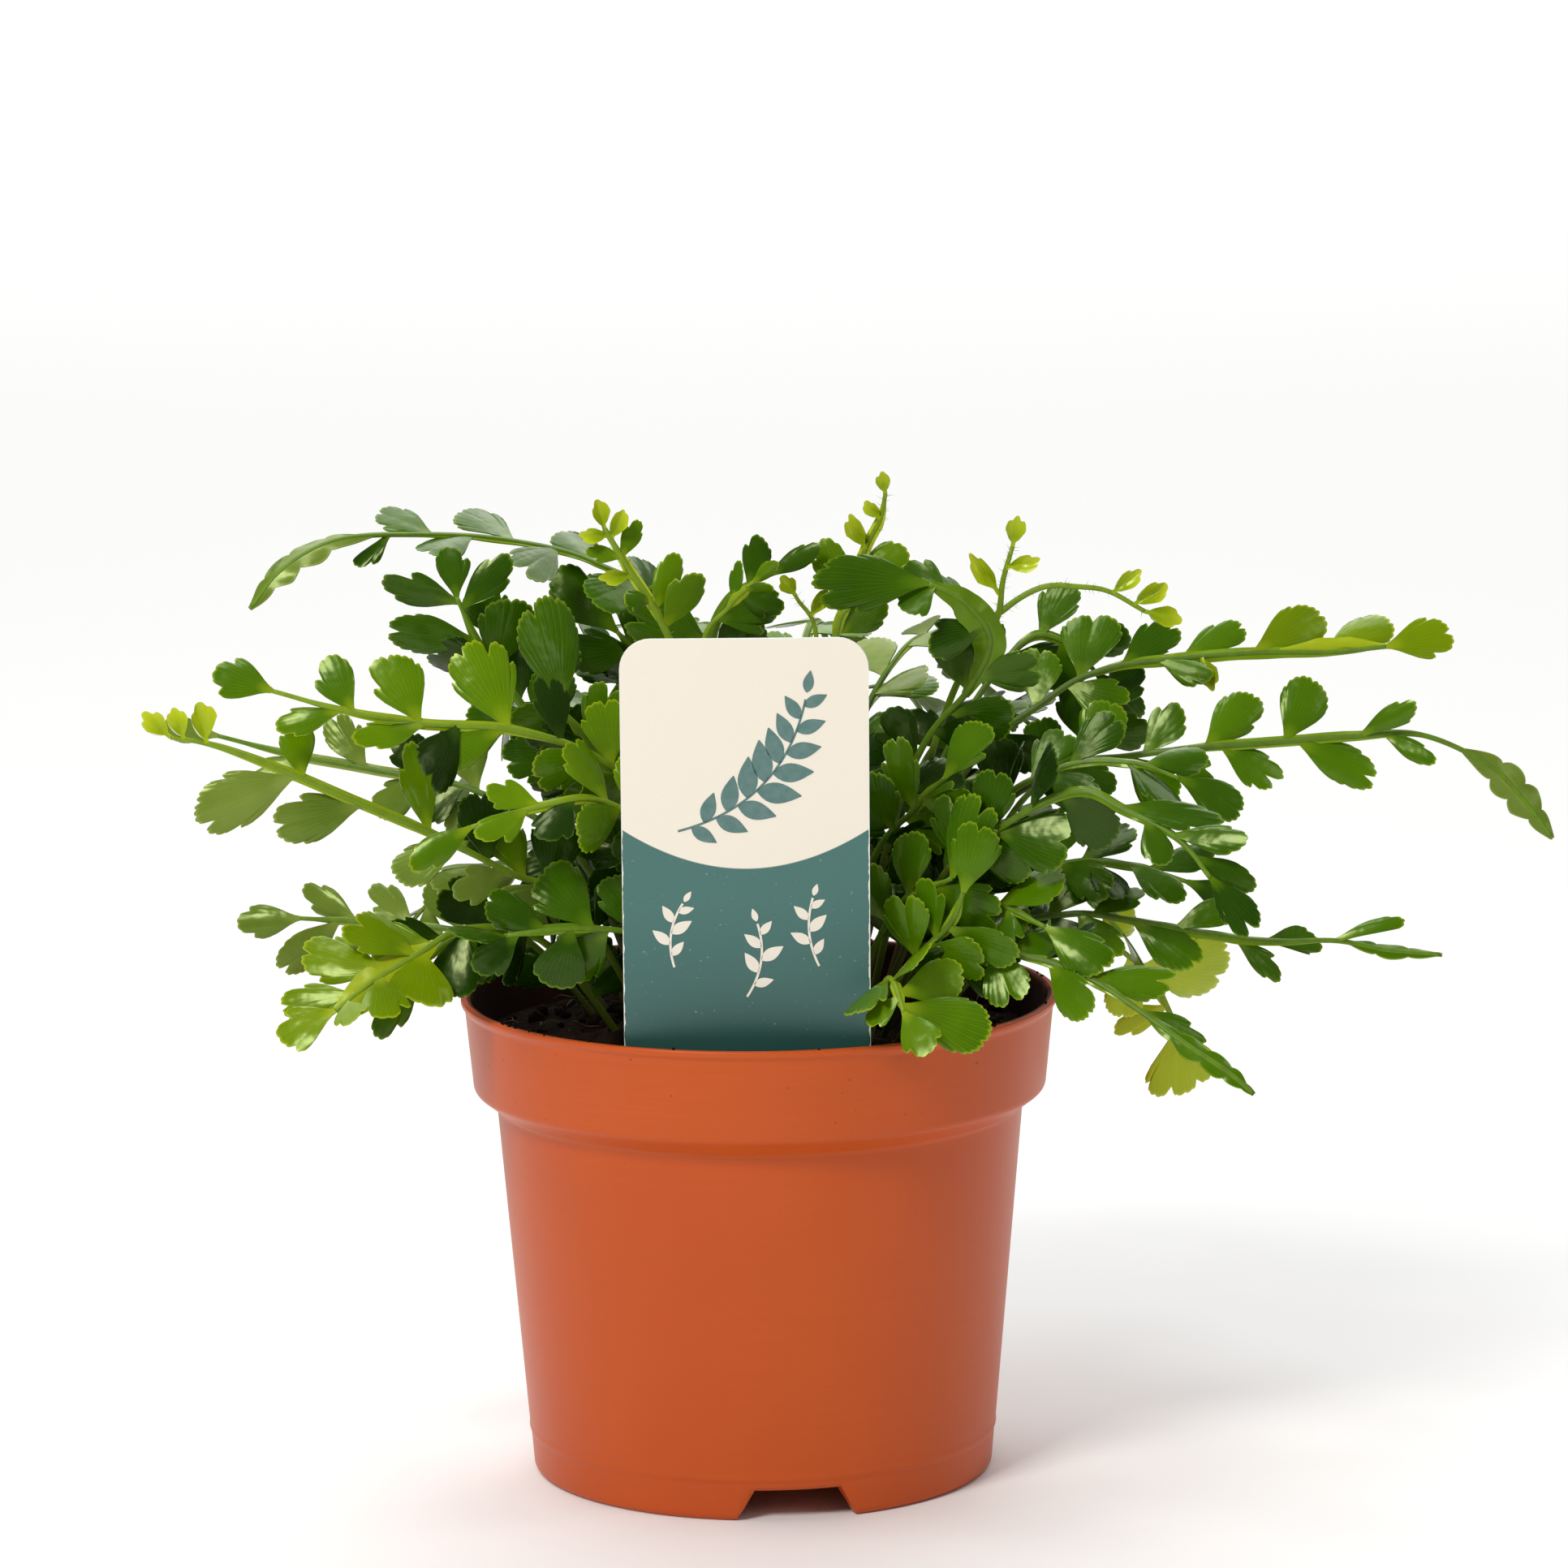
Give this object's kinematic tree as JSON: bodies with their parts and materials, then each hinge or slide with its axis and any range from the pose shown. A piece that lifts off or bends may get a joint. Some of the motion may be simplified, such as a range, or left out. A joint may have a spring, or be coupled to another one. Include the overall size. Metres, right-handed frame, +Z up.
{
  "type": "potted fern",
  "caption": "Potted fern with arching fronds of fan-shaped toothed leaflets in a round plastic nursery pot, with a plain two-colour card label in the soil.",
  "frame": {"origin": "middle of the pot's underside, on the surface it stands on", "axes": "+Z up, the label's printed face towards -Y, +X to the right as the label is read"},
  "size_m": [0.2801, 0.1929, 0.2027],
  "materials": {
    "pot_plastic": "satin",
    "label_card": "satin",
    "compost": "matte",
    "leaf_deep": "satin",
    "leaf_mid": "satin",
    "leaf_bright": "satin",
    "leaf_yellow": "satin",
    "leaf_young": "satin",
    "leaf_dull": "satin"
  },
  "bodies": {
    "root": {"crozier_arching": "leaf_young", "crozier_left": "leaf_young", "crozier_middle": "leaf_young", "crozier_tall": "leaf_young", "frond_back_01": "leaf_mid", "frond_back_02": "leaf_deep", "frond_back_03": "leaf_dull", "frond_back_04": "leaf_mid", "frond_back_05": "leaf_deep", "frond_back_06": "leaf_mid", "frond_back_07": "leaf_deep", "frond_back_08": "leaf_dull", "frond_back_09": "leaf_mid", "frond_back_10": "leaf_deep", "frond_back_11": "leaf_mid", "frond_back_12": "leaf_deep", "frond_back_13": "leaf_dull", "frond_front_clover": "leaf_bright", "frond_front_fan": "leaf_mid", "frond_front_oval": "leaf_mid", "frond_front_right": "leaf_mid", "frond_inner_cup": "leaf_mid", "frond_left_back": "leaf_dull", "frond_left_behind": "leaf_deep", "frond_left_bright": "leaf_bright", "frond_left_curled": "leaf_bright", "frond_left_dark": "leaf_deep", "frond_left_fan": "leaf_mid", "frond_left_hanging": "leaf_deep", "frond_left_inner": "leaf_deep", "frond_left_low": "leaf_dull", "frond_left_over": "leaf_mid", "frond_left_pointed": "leaf_bright", "frond_left_upright": "leaf_deep", "frond_left_yellow": "leaf_yellow", "frond_right_bowed": "leaf_deep", "frond_right_dark": "leaf_deep", "frond_right_edge": "leaf_mid", "frond_right_inner": "leaf_deep", "frond_right_long": "leaf_mid", "frond_right_low": "leaf_mid", "frond_right_middle": "leaf_deep", "frond_right_over": "leaf_mid", "frond_right_pale": "leaf_yellow", "frond_right_upper": "leaf_deep", "frond_top_leaf": "leaf_deep", "frond_top_middle": "leaf_deep", "label": "label_card", "pot": "pot_plastic", "soil": "compost", "young_top_left": "leaf_bright", "young_top_short": "leaf_bright"}
  },
  "joints": []
}
